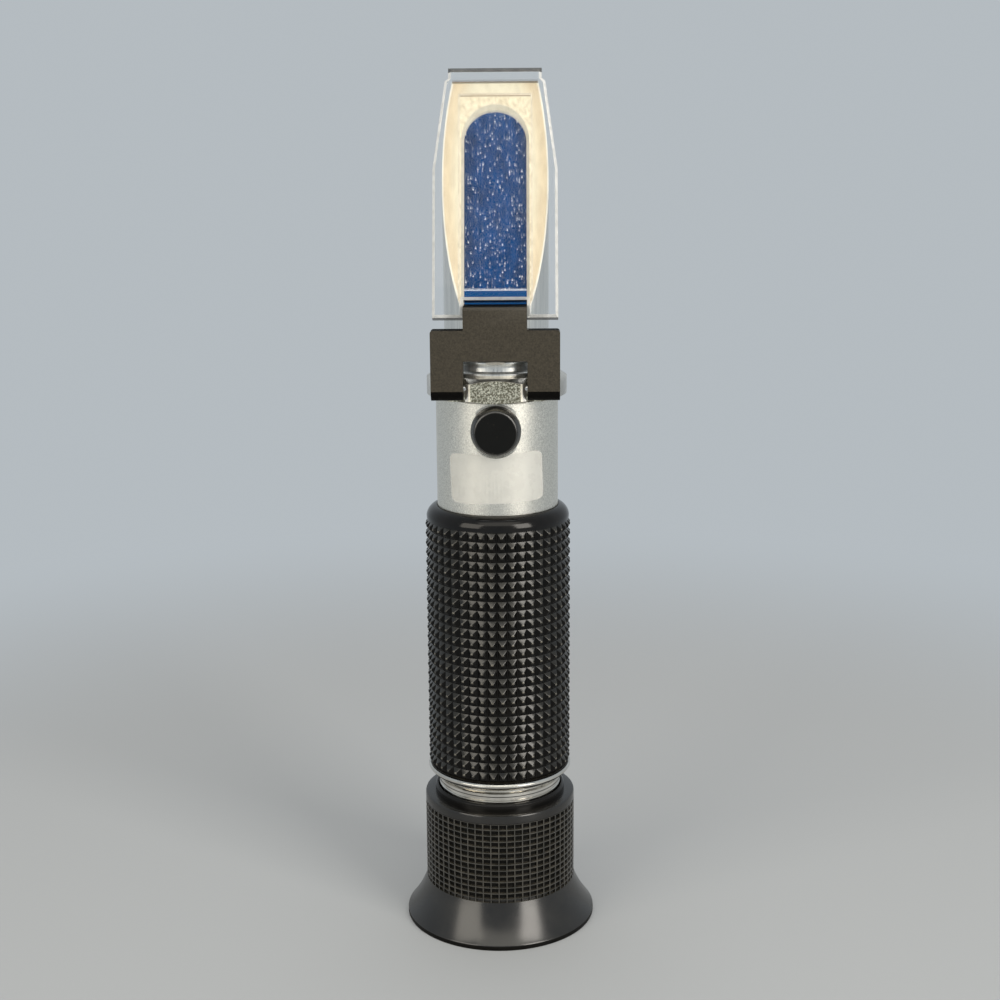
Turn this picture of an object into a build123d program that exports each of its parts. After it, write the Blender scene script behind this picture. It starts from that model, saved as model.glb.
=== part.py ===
from build123d import *
from math import atan2, cos, degrees, pi, sin, sqrt
import os

# Portable refractometer, standing on its eyecup. Millimetres, +Z up the tube, prism face towards -Y,
# origin at the middle of the eyecup's rim.

# Eyecup and eyepiece
rim_radius = 18.1
rim_inner_radius = 16.9
flare_height = 7.75
sleeve_radius = 14.3
sleeve_top = 25.2
barrel_radius = 12.4
barrel_bottom = 8.6
barrel_top = 26.6
barrel_bore = 11.75
barrel_lip_radius = 8.8

# Focusing neck and lens cell
neck_radius = 11.6
neck_bottom = 17.5
cell_radius = 10.25
cell_bore = 9.0
running_gap = 0.1

# Tube and grip
tube_radius = 11.2
tube_bore = 9.6
tube_bottom = 31.0
tube_top = 101.95
grip_radius = 13.5
shoulder_radius = 13.3
knurl_top = 78.9
knurl_depth = 0.62
knurl_columns = 32
knurl_rows = 18
grip_top = 81.6
end_ring_radius = 13.6

# Hinge collar
collar_radius = 12.8
collar_top = 106.35
knuckle_flat = 12.0
knuckle_half_width = 5.4
leg_notch = 8.75
pin_y = -11.1
pin_z = 104.65
pin_radius = 0.6
pin_gap = 0.06

# Prism head; the prism_top and the arch_top are measured along the sloping face from its lowest point
housing_radius = 9.5
housing_top = 157.7
neck_foot = 106.7
face_low = 111.6
face_top_y = 5.6
prism_half_width = 6.35
prism_bottom = 118.4
prism_top = 45.95
prism_back = 5.7
seal_width = 0.3
mask_thickness = 0.5
arch_half_width = 5.56
arch_top = 43.0
light_bore = 5.5

# Daylight plate, measured along the sloping face from its lowest point
plate_thickness = 2.4
plate_gap = 0.15
plate_half_width = 11.1
plate_bottom = 4.95
plate_taper = 31.8
plate_step = 47.8
plate_step_half_width = 8.97
plate_lip_half_width = 8.35
plate_top = 50.2
plate_notch_top = 8.1
plate_bevel = 0.5

# Hinge bracket
bracket_front = -13.2
bracket_back = -10.0
bracket_half_width = 11.35
bracket_shoulder = 115.1
bracket_top = 119.1
bracket_neck_half_width = 5.6
bracket_gap_half_width = 5.65
bracket_gap_top = 109.65
leg_radius = 2.1

# Calibration screw
screw_z = 97.0
spotface_radius = 4.9
spotface_y = -10.6
cap_radius = 4.5
cap_front_radius = 3.85
cap_front = -13.6
bush_radius = 2.6
bush_front = -12.4
bush_inner = -9.2

# The sloping face and what follows from it
face_angle = atan2(face_top_y + housing_radius, housing_top - face_low)
rise = cos(face_angle)
run = sin(face_angle)
face_plane = Plane(origin=(0, -housing_radius, face_low), x_dir=(1, 0, 0), z_dir=(0, -rise, run))


def face_point(along, out):
    """A point over the sloping face's middle line, as its y and z."""
    return (-housing_radius + along * run - out * rise, face_low + along * rise + out * run)


def turned(points):
    """Turns an outline of radius and height about the tube's axis."""
    with BuildSketch(Plane.XZ) as outline:
        with BuildLine():
            Polyline(*points, close=True)
        make_face()
    revolve(outline.sketch, axis=Axis.Z)


def turned_across(points):
    """Turns an outline of radius and y about the calibration screw's axis."""
    with BuildSketch(Plane.XY.offset(screw_z)) as outline:
        with BuildLine():
            Polyline(*points, close=True)
        make_face()
    revolve(outline.sketch, axis=Axis((0, 0, screw_z), (0, 1, 0)))


def ring(outer, inner, low, high):
    """A plain ring about the tube's axis."""
    turned([(inner, low), (outer, low), (outer, high), (inner, high)])


def dome(clear_radius, base, height):
    """A lens surface from the axis to its flat rim; a negative height bulges downwards."""
    sphere = (clear_radius**2 + height**2) / (2 * abs(height))
    middle = sqrt(sphere**2 - (clear_radius / 2) ** 2) - (sphere - abs(height))
    up = 1 if height > 0 else -1
    ThreePointArc((0, base + height), (clear_radius / 2, base + up * middle), (clear_radius, base))


def finish(piece, name, surface_curves=True):
    """Names a finished piece and writes its file."""
    piece.part.label = name
    export_step(piece.part, "parts/" + name + ".step", write_pcurves=surface_curves)


os.makedirs("parts", exist_ok=True)

# Rubber eyecup: a flared cup below, and above it the sleeve that is gripped to focus
cup_wall_low = (15.95, 4.2)
cup_hollow_mid = (14.2, 4.3)
cup_hollow_top = (10.4, 7.8)
with BuildPart() as rubber_eyecup:
    with BuildSketch(Plane.XZ) as cup_profile:
        with BuildLine():
            Line((rim_inner_radius, 0), (rim_radius - 0.2, 0))
            Line((rim_radius - 0.2, 0), (rim_radius, 0.2))
            Line((rim_radius, 0.2), (rim_radius, 1.0))
            ThreePointArc((rim_radius, 1.0), cup_wall_low, (sleeve_radius, flare_height))
            Line((sleeve_radius, flare_height), (sleeve_radius, sleeve_top - 0.4))
            Line((sleeve_radius, sleeve_top - 0.4), (sleeve_radius - 0.4, sleeve_top))
            Line((sleeve_radius - 0.4, sleeve_top), (barrel_radius, sleeve_top))
            Line((barrel_radius, sleeve_top), (barrel_radius, barrel_bottom))
            Line((barrel_radius, barrel_bottom), (cup_hollow_top[0], barrel_bottom))
            Line((cup_hollow_top[0], barrel_bottom), cup_hollow_top)
            ThreePointArc(cup_hollow_top, cup_hollow_mid, (rim_inner_radius, 0))
        make_face()
    revolve(cup_profile.sketch, axis=Axis.Z)
finish(rubber_eyecup, "rubber_eyecup")

# Eyepiece barrel inside the rubber, with a lip that holds the lens cell's flange
barrel_floor = barrel_bottom + 1.8
with BuildPart() as eyepiece_barrel:
    turned([
        (barrel_lip_radius, barrel_bottom),
        (barrel_radius, barrel_bottom),
        (barrel_radius, barrel_top - 0.3),
        (barrel_radius - 0.3, barrel_top),
        (barrel_bore + 0.15, barrel_top),
        (barrel_bore, barrel_top - 0.15),
        (barrel_bore, barrel_floor),
        (barrel_lip_radius, barrel_floor),
    ])
finish(eyepiece_barrel, "eyepiece_barrel")

# Lens cell: it slides in the neck and does not turn, held by a guide pin in its slot
flange_low = barrel_floor + 0.05
flange_high = flange_low + 1.6
cell_top = 27.5
slot_width = 1.3
slot_low = 19.6
slot_high = 25.4
guide_z = (slot_low + slot_high) / 2
with BuildPart() as lens_cell:
    turned([
        (cell_bore, flange_low),
        (barrel_bore - running_gap, flange_low),
        (barrel_bore - running_gap, flange_high),
        (cell_radius, flange_high),
        (cell_radius, cell_top),
        (cell_bore, cell_top),
    ])
    with BuildSketch(Plane.XZ.offset(-cell_bore + 1)):
        with Locations((0, guide_z)):
            SlotOverall(slot_high - slot_low, slot_width, rotation=90)
    extrude(amount=-3, mode=Mode.SUBTRACT)
finish(lens_cell, "lens_cell")

# Ring screwed into the barrel over the flange
with BuildPart() as barrel_retainer:
    ring(barrel_bore, cell_radius + 0.25, flange_high + 0.05, flange_high + 1.3)
finish(barrel_retainer, "barrel_retainer")

# Eyepiece lenses, low to high: retaining ring, eye lens, spacer, field lens
eye_lens_low = 11.8
eye_lens_high = 14.6
field_lens_low = 21.2
field_lens_high = 23.6
lens_edge = cell_bore - 0.05
eye_lens_clear = cell_bore - 1.7
field_lens_clear = cell_bore - 1.0
with BuildPart() as lens_retainer:
    ring(cell_bore, eye_lens_clear + 0.1, flange_low, eye_lens_low)
finish(lens_retainer, "lens_retainer")

with BuildPart() as eye_lens:
    with BuildSketch(Plane.XZ) as eye_lens_profile:
        with BuildLine():
            Line((0, eye_lens_low - 0.7), (0, eye_lens_high + 1.0))
            dome(eye_lens_clear, eye_lens_high, 1.0)
            Line((eye_lens_clear, eye_lens_high), (lens_edge, eye_lens_high))
            Line((lens_edge, eye_lens_high), (lens_edge, eye_lens_low))
            Line((lens_edge, eye_lens_low), (eye_lens_clear, eye_lens_low))
            dome(eye_lens_clear, eye_lens_low, -0.7)
        make_face()
    revolve(eye_lens_profile.sketch, axis=Axis.Z)
finish(eye_lens, "eye_lens")

with BuildPart() as lens_spacer:
    ring(cell_bore, field_lens_clear + 0.1, eye_lens_high, field_lens_low)
finish(lens_spacer, "lens_spacer")

with BuildPart() as field_lens:
    with BuildSketch(Plane.XZ) as field_lens_profile:
        with BuildLine():
            Line((0, field_lens_low), (0, field_lens_high + 0.9))
            dome(field_lens_clear, field_lens_high, 0.9)
            Line((field_lens_clear, field_lens_high), (lens_edge, field_lens_high))
            Line((lens_edge, field_lens_high), (lens_edge, field_lens_low))
            Line((lens_edge, field_lens_low), (0, field_lens_low))
        make_face()
    revolve(field_lens_profile.sketch, axis=Axis.Z)
finish(field_lens, "field_lens")

# Focusing neck: bright bands above the barrel, a seal groove and a bore for the lens cell below
neck_shoulder = 29.2
neck_upper_radius = 10.9
neck_bore_top = 30.2
spigot_top = 37.0
groove_low = 20.9
groove_high = 22.3
groove_radius = 10.95
guide_pin_radius = 0.6
with BuildPart() as focus_neck:
    turned([
        (cell_radius + running_gap, neck_bottom),
        (neck_radius, neck_bottom),
        (neck_radius, groove_low),
        (groove_radius, groove_low),
        (groove_radius, groove_high),
        (neck_radius, groove_high),
        (neck_radius, 26.95),
        (neck_radius - 0.25, 27.1),
        (neck_radius - 0.25, 27.3),
        (neck_radius, 27.45),
        (neck_radius, 28.35),
        (neck_radius - 0.5, 28.6),
        (neck_radius - 0.5, neck_shoulder),
        (neck_upper_radius, neck_shoulder),
        (neck_upper_radius, tube_bottom),
        (tube_bore, tube_bottom),
        (tube_bore, spigot_top),
        (tube_bore - 1, spigot_top),
        (tube_bore - 1, neck_bore_top),
        (cell_radius + running_gap, neck_bore_top),
    ])
    with Locations(Plane(origin=(0, neck_radius, guide_z), z_dir=(0, 1, 0))):
        Hole(radius=guide_pin_radius, depth=neck_radius - cell_radius + 0.5)
finish(focus_neck, "focus_neck")

# Guide pin through the neck into the lens cell's slot
guide_pin_inner = 9.3
guide_pin_outer = neck_radius - 0.1
with BuildPart() as focus_guide_pin:
    with BuildSketch(Plane.XZ.offset(-guide_pin_inner)):
        with Locations((0, guide_z)):
            Circle(guide_pin_radius)
    extrude(amount=guide_pin_inner - guide_pin_outer)
finish(focus_guide_pin, "focus_guide_pin")

# Seal ring that gives the focusing its drag
seal_section = 0.37
with BuildPart() as focus_seal:
    with BuildSketch(Plane.XZ) as seal_profile:
        with Locations((groove_radius + seal_section, (groove_low + groove_high) / 2)):
            Circle(seal_section)
    revolve(seal_profile.sketch, axis=Axis.Z)
finish(focus_seal, "focus_seal")

# Bright end ring under the grip
with BuildPart() as end_ring:
    turned([
        (neck_upper_radius, neck_shoulder),
        (11.9, neck_shoulder),
        (12.7, 29.55),
        (13.3, 30.05),
        (end_ring_radius, 30.45),
        (end_ring_radius, 30.75),
        (end_ring_radius - 0.25, tube_bottom),
        (neck_upper_radius, tube_bottom),
    ])
finish(end_ring, "end_ring")

# One upright row of the grip's knurling: a strip of ridges whose sides lean in, so that each is a pyramid
knurl_low = tube_bottom + 0.35
knurl_high = knurl_top - 0.1
knurl_floor = grip_radius - knurl_depth
knurl_valley = knurl_floor + 0.04
knurl_root = knurl_floor - 0.15
row_height = (knurl_high - knurl_low) / knurl_rows
side_slope = (pi * knurl_floor / knurl_columns - 0.04) / knurl_depth
side_peak = grip_radius + 0.03
root_half = (side_peak - knurl_root) * side_slope
ridges = [(knurl_root, knurl_high), (knurl_root, knurl_low), (knurl_valley, knurl_low)]
for row in range(knurl_rows):
    ridges.append((grip_radius, knurl_low + (row + 0.5) * row_height))
    ridges.append((knurl_valley, knurl_low + (row + 1) * row_height))
with BuildPart() as knurl_strip:
    with BuildSketch(Plane.XZ):
        with BuildLine():
            Polyline(*ridges, close=True)
        make_face()
    extrude(amount=root_half, both=True)
    with BuildSketch(Plane.XY.offset(knurl_low)):
        Polygon((side_peak, 0), (knurl_root, root_half), (knurl_root, -root_half), align=None)
    extrude(amount=knurl_high - knurl_low, mode=Mode.INTERSECT)

# Grip sleeve: knurled over its length, with a smooth rounded shoulder
shoulder_mid = (shoulder_radius - 0.62, grip_top - 0.72)
with BuildPart() as grip_sleeve:
    with BuildSketch(Plane.XZ) as grip_profile:
        with BuildLine():
            Line((tube_radius, tube_bottom), (grip_radius - 0.4, tube_bottom))
            Line((grip_radius - 0.4, tube_bottom), (grip_radius - 0.3, tube_bottom + 0.1))
            Line((grip_radius - 0.3, tube_bottom + 0.1), (knurl_floor, knurl_low))
            Line((knurl_floor, knurl_low), (knurl_floor, knurl_high))
            Line((knurl_floor, knurl_high), (shoulder_radius, knurl_top))
            ThreePointArc((shoulder_radius, knurl_top), shoulder_mid, (tube_radius + 0.3, grip_top))
            Line((tube_radius + 0.3, grip_top), (tube_radius, grip_top - 0.3))
            Line((tube_radius, grip_top - 0.3), (tube_radius, tube_bottom))
        make_face()
    revolve(grip_profile.sketch, axis=Axis.Z)
    with PolarLocations(0, knurl_columns, start_angle=180 / knurl_columns):
        add(knurl_strip.part)
finish(grip_sleeve, "grip_sleeve", surface_curves=False)

# Body tube, with the spotface and the hole for the calibration bush
screw_plane = Plane(origin=(0, spotface_y, screw_z), x_dir=(1, 0, 0), z_dir=(0, -1, 0))
strip_z = 79.0
strip_screw_radius = 0.8
with BuildPart() as body_tube:
    ring(tube_radius, tube_bore, tube_bottom, tube_top)
    with BuildSketch(screw_plane):
        Circle(spotface_radius)
    extrude(amount=2, mode=Mode.SUBTRACT)
    with BuildSketch(screw_plane.offset(1)):
        Circle(bush_radius)
    extrude(amount=-3, mode=Mode.SUBTRACT)
    with BuildSketch(Plane.XZ.offset(-8)):
        with Locations((0, strip_z)):
            Circle(strip_screw_radius)
    extrude(amount=-2.6, mode=Mode.SUBTRACT)
finish(body_tube, "body_tube")

# Clear film label round the front of the tube, cut away under the cap
label_low = 83.8
label_high = 92.8
label_half_width = 8.3
label_thickness = 0.08
label_tilt = 2
with BuildPart() as label_film:
    ring(tube_radius + label_thickness, tube_radius, label_low - 1, label_high + 1)
    with BuildSketch(Plane.XZ.offset(5)):
        with Locations((0, (label_low + label_high) / 2)):
            RectangleRounded(2 * label_half_width, label_high - label_low, 1.1, rotation=label_tilt)
    extrude(amount=8, mode=Mode.INTERSECT)
    with BuildSketch(screw_plane):
        Circle(spotface_radius + 0.05)
    extrude(amount=2, both=True, mode=Mode.SUBTRACT)
finish(label_film, "label_film")

# Hinge collar: a turned ring with nut-like chamfers, a milled flat in front and a notch for each leg
with BuildPart() as hinge_collar:
    turned([
        (tube_bore, tube_top),
        (knuckle_flat, tube_top),
        (collar_radius, tube_top + 0.45),
        (collar_radius, collar_top - 0.85),
        (knuckle_flat - 0.5, collar_top),
        (tube_bore, collar_top),
    ])
    with BuildSketch(Plane.XY.offset(tube_top - 1)):
        with Locations((0, -knuckle_flat - 2)):
            Rectangle(4 * knuckle_flat, 4)
        for side in (-1, 1):
            with Locations((side * (knuckle_half_width + 5), -leg_notch - 5)):
                Rectangle(10, 10)
    extrude(amount=8, mode=Mode.SUBTRACT)
    with BuildSketch(Plane.YZ):
        with Locations((pin_y, pin_z)):
            Circle(pin_radius)
    extrude(amount=knuckle_half_width + 1, both=True, mode=Mode.SUBTRACT)
finish(hinge_collar, "hinge_collar")

# Hinge pin, fast in the knuckle
with BuildPart() as hinge_pin:
    with BuildSketch(Plane.YZ):
        with Locations((pin_y, pin_z)):
            Circle(pin_radius)
    extrude(amount=bracket_half_width - 0.15, both=True)
finish(hinge_pin, "hinge_pin")


face_low_along = (prism_bottom - face_low) / rise
corner_cut_up = 1.9
corner_cut_across = 1.15


def face_outline(grow):
    """The prism's outline on the sloping face, its lower corners cut to stay inside the round head."""
    half = prism_half_width + grow
    low = face_low_along - grow
    high = prism_top + grow
    Polyline(
        (half, low + corner_cut_up),
        (half, high),
        (-half, high),
        (-half, low + corner_cut_up),
        (-half + corner_cut_across, low),
        (half - corner_cut_across, low),
        close=True,
    )


def keep_in_pocket():
    """Keeps only what lies over the prism's exit face and in front of its back."""
    front = -15
    top = 165
    with BuildSketch(Plane.YZ) as side:
        with Locations(((front + prism_back) / 2, (prism_bottom + top) / 2)):
            Rectangle(prism_back - front, top - prism_bottom)
    extrude(side.sketch, amount=20, both=True, mode=Mode.INTERSECT)


# The pocket that the prism and its seal fill
with BuildPart() as pocket:
    with BuildSketch(face_plane.offset(1)):
        with BuildLine():
            face_outline(seal_width)
        make_face()
    extrude(amount=-20)
    keep_in_pocket()

# Prism housing: a round head cut by the sloping face, on a stepped neck and a spigot into the tube
spigot_bottom = 100.3
spigot_bore = 7.9
bore_step = spigot_bottom + 6.2
with BuildPart() as prism_housing:
    turned([
        (spigot_bore, spigot_bottom),
        (tube_bore, spigot_bottom),
        (tube_bore, collar_top),
        (10.7, collar_top),
        (10.9, neck_foot + 0.15),
        (10.9, neck_foot + 0.4),
        (10.7, neck_foot + 0.6),
        (10.25, neck_foot + 0.75),
        (10.15, neck_foot + 1.9),
        (10.5, neck_foot + 2.1),
        (10.5, neck_foot + 2.4),
        (housing_radius, neck_foot + 2.9),
        (housing_radius, housing_top),
        (0, housing_top),
        (0, prism_bottom),
        (light_bore, prism_bottom),
        (light_bore, bore_step),
        (spigot_bore, bore_step),
    ])
    split(bisect_by=face_plane, keep=Keep.BOTTOM)
    add(pocket.part, mode=Mode.SUBTRACT)
finish(prism_housing, "prism_housing")

# Measuring prism: a long glass wedge, its sloping face a little below the housing's
with BuildPart() as main_prism:
    with BuildSketch(face_plane.offset(-mask_thickness)):
        with BuildLine():
            face_outline(0)
        make_face()
    extrude(amount=-20)
    keep_in_pocket()
finish(main_prism, "main_prism")

# Seal round the prism, a narrow frame flush with the face
with BuildPart() as prism_seal:
    with BuildSketch(face_plane):
        with BuildLine():
            face_outline(seal_width)
        make_face()
        with BuildLine():
            face_outline(0)
        make_face(mode=Mode.SUBTRACT)
    extrude(amount=-1.2)
    keep_in_pocket()
finish(prism_seal, "prism_seal")

# Cream mask over the prism, with the arched window that light enters by
arch_centre = arch_top - arch_half_width
with BuildPart() as prism_mask:
    with BuildSketch(face_plane):
        with BuildLine():
            face_outline(0)
        make_face()
        with Locations((0, arch_centre)):
            Circle(arch_half_width, mode=Mode.SUBTRACT)
        with Locations((0, arch_centre - 20)):
            Rectangle(2 * arch_half_width, 40, mode=Mode.SUBTRACT)
    extrude(amount=-mask_thickness)
    keep_in_pocket()
finish(prism_mask, "prism_mask")

# Black ring that stops stray light under the prism
baffle_bore = 4.6
with BuildPart() as light_baffle:
    ring(spigot_bore, baffle_bore, bore_step - 1, bore_step)
finish(light_baffle, "light_baffle")

# Objective: a carriage that the calibration screw shifts sideways on a fixed seat
carriage_radius = 8.6
carriage_low = 94.4
carriage_high = 99.9
carriage_bore = 6.6
carriage_lip_bore = 5.6
carriage_floor = carriage_low + 0.9
thread_radius = 0.85
strip_y = 8.95
strip_thickness = 0.25
strip_width = 3.6
with BuildPart() as carriage_seat:
    ring(tube_bore, carriage_lip_bore + 0.3, carriage_low - 1.8, carriage_low - 0.1)
    with BuildSketch(Plane.XY.offset(carriage_low)):
        with Locations((0, strip_y + 1)):
            Rectangle(strip_width + 0.4, 2.4)
    extrude(amount=-3, mode=Mode.SUBTRACT)
finish(carriage_seat, "carriage_seat")

with BuildPart() as objective_carriage:
    turned([
        (carriage_lip_bore, carriage_low),
        (carriage_radius, carriage_low),
        (carriage_radius, carriage_high),
        (carriage_bore, carriage_high),
        (carriage_bore, carriage_floor),
        (carriage_lip_bore, carriage_floor),
    ])
    with BuildSketch(screw_plane):
        Circle(thread_radius)
    extrude(amount=-5, mode=Mode.SUBTRACT)
finish(objective_carriage, "objective_carriage")

objective_high = carriage_high - 1.3
objective_edge = carriage_bore - 0.05
objective_clear = 5.3
with BuildPart() as objective_lens:
    with BuildSketch(Plane.XZ) as objective_profile:
        with BuildLine():
            Line((0, carriage_floor), (0, objective_high + 0.6))
            dome(objective_clear, objective_high, 0.6)
            Line((objective_clear, objective_high), (objective_edge, objective_high))
            Line((objective_edge, objective_high), (objective_edge, carriage_floor))
            Line((objective_edge, carriage_floor), (0, carriage_floor))
        make_face()
    revolve(objective_profile.sketch, axis=Axis.Z)
finish(objective_lens, "objective_lens")

with BuildPart() as objective_retainer:
    ring(carriage_bore, objective_clear + 0.1, objective_high, carriage_high - 0.3)
finish(objective_retainer, "objective_retainer")

# Bimetal strip behind the carriage that corrects for temperature, and the screw that holds its foot
strip_low = strip_z - 3
strip_high = carriage_high - 1.9
with BuildPart() as bimetal_strip:
    with BuildSketch(Plane.XZ.offset(-strip_y)):
        with Locations((0, (strip_low + strip_high) / 2)):
            Rectangle(strip_width, strip_high - strip_low)
        with Locations((0, strip_z)):
            Circle(strip_screw_radius, mode=Mode.SUBTRACT)
    extrude(amount=-strip_thickness)
finish(bimetal_strip, "bimetal_strip")

strip_head_radius = 1.5
strip_head_height = 0.8
with BuildPart() as strip_screw:
    with BuildSketch(Plane.XZ.offset(-strip_y)):
        with Locations((0, strip_z)):
            Circle(strip_head_radius)
    extrude(amount=strip_head_height)
    with BuildSketch(Plane.XZ.offset(-strip_y)):
        with Locations((0, strip_z)):
            Circle(strip_screw_radius)
    extrude(amount=-1.6)
    with BuildSketch(Plane.XZ.offset(strip_head_height - strip_y)):
        with Locations((0, strip_z)):
            Rectangle(3 * strip_head_radius, 0.4)
    extrude(amount=-0.4, mode=Mode.SUBTRACT)
finish(strip_screw, "strip_screw")

# Reticle with the scale: a glass disc between a holder and a retaining ring
reticle_low = 44.0
reticle_high = 45.5
reticle_radius = tube_bore - 0.6
holder_bore = 7.4
with BuildPart() as reticle_holder:
    turned([
        (holder_bore, spigot_top),
        (tube_bore, spigot_top),
        (tube_bore, reticle_high),
        (reticle_radius, reticle_high),
        (reticle_radius, reticle_low),
        (holder_bore, reticle_low),
    ])
finish(reticle_holder, "reticle_holder")

with BuildPart() as reticle_glass:
    ring(reticle_radius, 0, reticle_low, reticle_high)
finish(reticle_glass, "reticle_glass")

with BuildPart() as reticle_retainer:
    ring(tube_bore, holder_bore + 0.2, reticle_high, reticle_high + 1.5)
finish(reticle_retainer, "reticle_retainer")

# Calibration bush in the tube's wall, its slotted screw and the rubber cap over them
bush_step = -10.4
bush_counterbore = 2.0
bush_bore = 1.5
screw_gap = 0.07
screw_front = -12.0
screw_tip = -7.2
head_radius = bush_counterbore - screw_gap
shank_radius = thread_radius - screw_gap
cap_gap = 0.06
with BuildPart() as calibration_bush:
    turned_across([
        (bush_bore, bush_inner),
        (bush_radius, bush_inner),
        (bush_radius, bush_front + 0.2),
        (bush_radius - 0.2, bush_front),
        (bush_counterbore, bush_front),
        (bush_counterbore, bush_step),
        (bush_bore, bush_step),
    ])
finish(calibration_bush, "calibration_bush")

with BuildPart() as calibration_screw:
    turned_across([
        (0, screw_front),
        (head_radius - 0.2, screw_front),
        (head_radius, screw_front + 0.2),
        (head_radius, bush_step - 0.05),
        (bush_bore - screw_gap, bush_step - 0.05),
        (bush_bore - screw_gap, bush_inner - 0.05),
        (shank_radius, bush_inner - 0.05),
        (shank_radius, screw_tip),
        (0, screw_tip),
    ])
    with BuildSketch(Plane.XZ.offset(-screw_front)):
        with Locations((0, screw_z)):
            Rectangle(5, 0.5)
    extrude(amount=-0.7, mode=Mode.SUBTRACT)
finish(calibration_screw, "calibration_screw")

with BuildPart() as calibration_cap:
    turned_across([
        (bush_radius + cap_gap, spotface_y),
        (cap_radius, spotface_y),
        (cap_radius, spotface_y - 1.3),
        (cap_front_radius + 0.1, cap_front + 0.25),
        (cap_front_radius - 0.15, cap_front),
        (0, cap_front),
        (0, bush_front - 0.15),
        (bush_radius + cap_gap, bush_front - 0.15),
    ])
finish(calibration_cap, "calibration_cap")

# Daylight plate: clear, tapered to a narrow lip, with a notch for the bracket's neck
plate_plane = face_plane.offset(plate_gap)
with BuildPart() as daylight_plate:
    with BuildSketch(plate_plane):
        with BuildLine():
            Polyline(
                (plate_half_width, plate_bottom),
                (plate_half_width, plate_taper),
                (plate_step_half_width, plate_step),
                (plate_lip_half_width, plate_step + 0.5),
                (plate_lip_half_width, plate_top),
                (-plate_lip_half_width, plate_top),
                (-plate_lip_half_width, plate_step + 0.5),
                (-plate_step_half_width, plate_step),
                (-plate_half_width, plate_taper),
                (-plate_half_width, plate_bottom),
                (-bracket_neck_half_width, plate_bottom),
                (-bracket_neck_half_width, plate_notch_top),
                (bracket_neck_half_width, plate_notch_top),
                (bracket_neck_half_width, plate_bottom),
                close=True,
            )
        make_face()
    extrude(amount=plate_thickness)
    front_face = daylight_plate.faces().filter_by(face_plane).sort_by(Axis.Y)[0]
    chamfer(front_face.edges(), length=plate_bevel)
finish(daylight_plate, "daylight_plate")

# Hinge bracket: a tee with a gap between two round-ended legs, its neck glued in the plate's notch
neck_gap = 0.25
neck_back_top = face_point((bracket_top - face_low - neck_gap * run) / rise, neck_gap)
neck_back_low = face_point((bracket_back + housing_radius + neck_gap * rise) / run, neck_gap)
corner_round = 0.5
leg_end = pin_z - leg_radius - 1
leg_back_top = (bracket_back, 108.4)
leg_back_mid = (bracket_back + 0.25, 106.4)
leg_bottom_back = (pin_y + leg_radius, pin_z)
top_edge = (bracket_front, bracket_top - corner_round)
top_edge_back = (bracket_front + corner_round, bracket_top)
with BuildPart() as hinge_bracket:
    with BuildSketch(Plane.YZ):
        with BuildLine():
            Line((bracket_front, pin_z), top_edge)
            Line(top_edge, top_edge_back)
            Line(top_edge_back, (bracket_back, bracket_top))
            Line((bracket_back, bracket_top), leg_back_top)
            Line(leg_back_top, leg_back_mid)
            Line(leg_back_mid, leg_bottom_back)
            ThreePointArc(leg_bottom_back, (pin_y, pin_z - leg_radius), (bracket_front, pin_z))
        make_face()
    extrude(amount=bracket_half_width, both=True)
    with BuildSketch(Plane.XZ) as bracket_outline:
        with BuildLine():
            Polyline(
                (bracket_gap_half_width, leg_end),
                (bracket_half_width, leg_end),
                (bracket_half_width, bracket_shoulder),
                (bracket_neck_half_width, bracket_shoulder),
                (bracket_neck_half_width, bracket_top),
                (-bracket_neck_half_width, bracket_top),
                (-bracket_neck_half_width, bracket_shoulder),
                (-bracket_half_width, bracket_shoulder),
                (-bracket_half_width, leg_end),
                (-bracket_gap_half_width, leg_end),
                (-bracket_gap_half_width, bracket_gap_top),
                (bracket_gap_half_width, bracket_gap_top),
                close=True,
            )
        make_face()
        shoulder_corners = bracket_outline.vertices().group_by(Axis.Y)[-2].sort_by(Axis.X)
        fillet([shoulder_corners[0], shoulder_corners[-1]], corner_round)
    extrude(amount=20, mode=Mode.INTERSECT)
    with BuildSketch(Plane.YZ):
        with BuildLine():
            Polyline(
                neck_back_low,
                neck_back_top,
                (bracket_back - 1, bracket_top),
                (bracket_back - 1, neck_back_low[1]),
                close=True,
            )
        make_face()
    extrude(amount=bracket_neck_half_width, both=True)
    with BuildSketch(Plane.YZ):
        with Locations((pin_y, pin_z)):
            Circle(pin_radius + pin_gap)
    extrude(amount=bracket_half_width, both=True, mode=Mode.SUBTRACT)
finish(hinge_bracket, "hinge_bracket")

print("face angle", round(degrees(face_angle), 2), "degrees from the tube's axis")
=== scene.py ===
from math import atan2, cos, pi, radians, sin

import bmesh
import bpy
from mathutils import Matrix, Vector


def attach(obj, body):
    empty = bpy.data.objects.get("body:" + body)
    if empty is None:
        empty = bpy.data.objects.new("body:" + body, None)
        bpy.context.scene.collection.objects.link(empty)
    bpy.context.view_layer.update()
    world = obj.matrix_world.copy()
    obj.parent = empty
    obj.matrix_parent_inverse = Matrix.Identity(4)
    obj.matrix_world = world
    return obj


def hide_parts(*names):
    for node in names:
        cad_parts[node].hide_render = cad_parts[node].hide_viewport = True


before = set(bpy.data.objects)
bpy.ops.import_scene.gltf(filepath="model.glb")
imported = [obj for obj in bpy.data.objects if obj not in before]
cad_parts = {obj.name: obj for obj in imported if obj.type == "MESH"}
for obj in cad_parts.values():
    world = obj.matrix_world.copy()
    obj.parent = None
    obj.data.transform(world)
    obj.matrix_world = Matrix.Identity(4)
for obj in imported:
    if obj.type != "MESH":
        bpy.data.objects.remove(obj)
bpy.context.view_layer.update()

mm = 0.001
print("frame loaded:", len(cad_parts), "CAD nodes")


# Material helpers: each adds nodes to a material and gives back the socket that the next one needs

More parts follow.
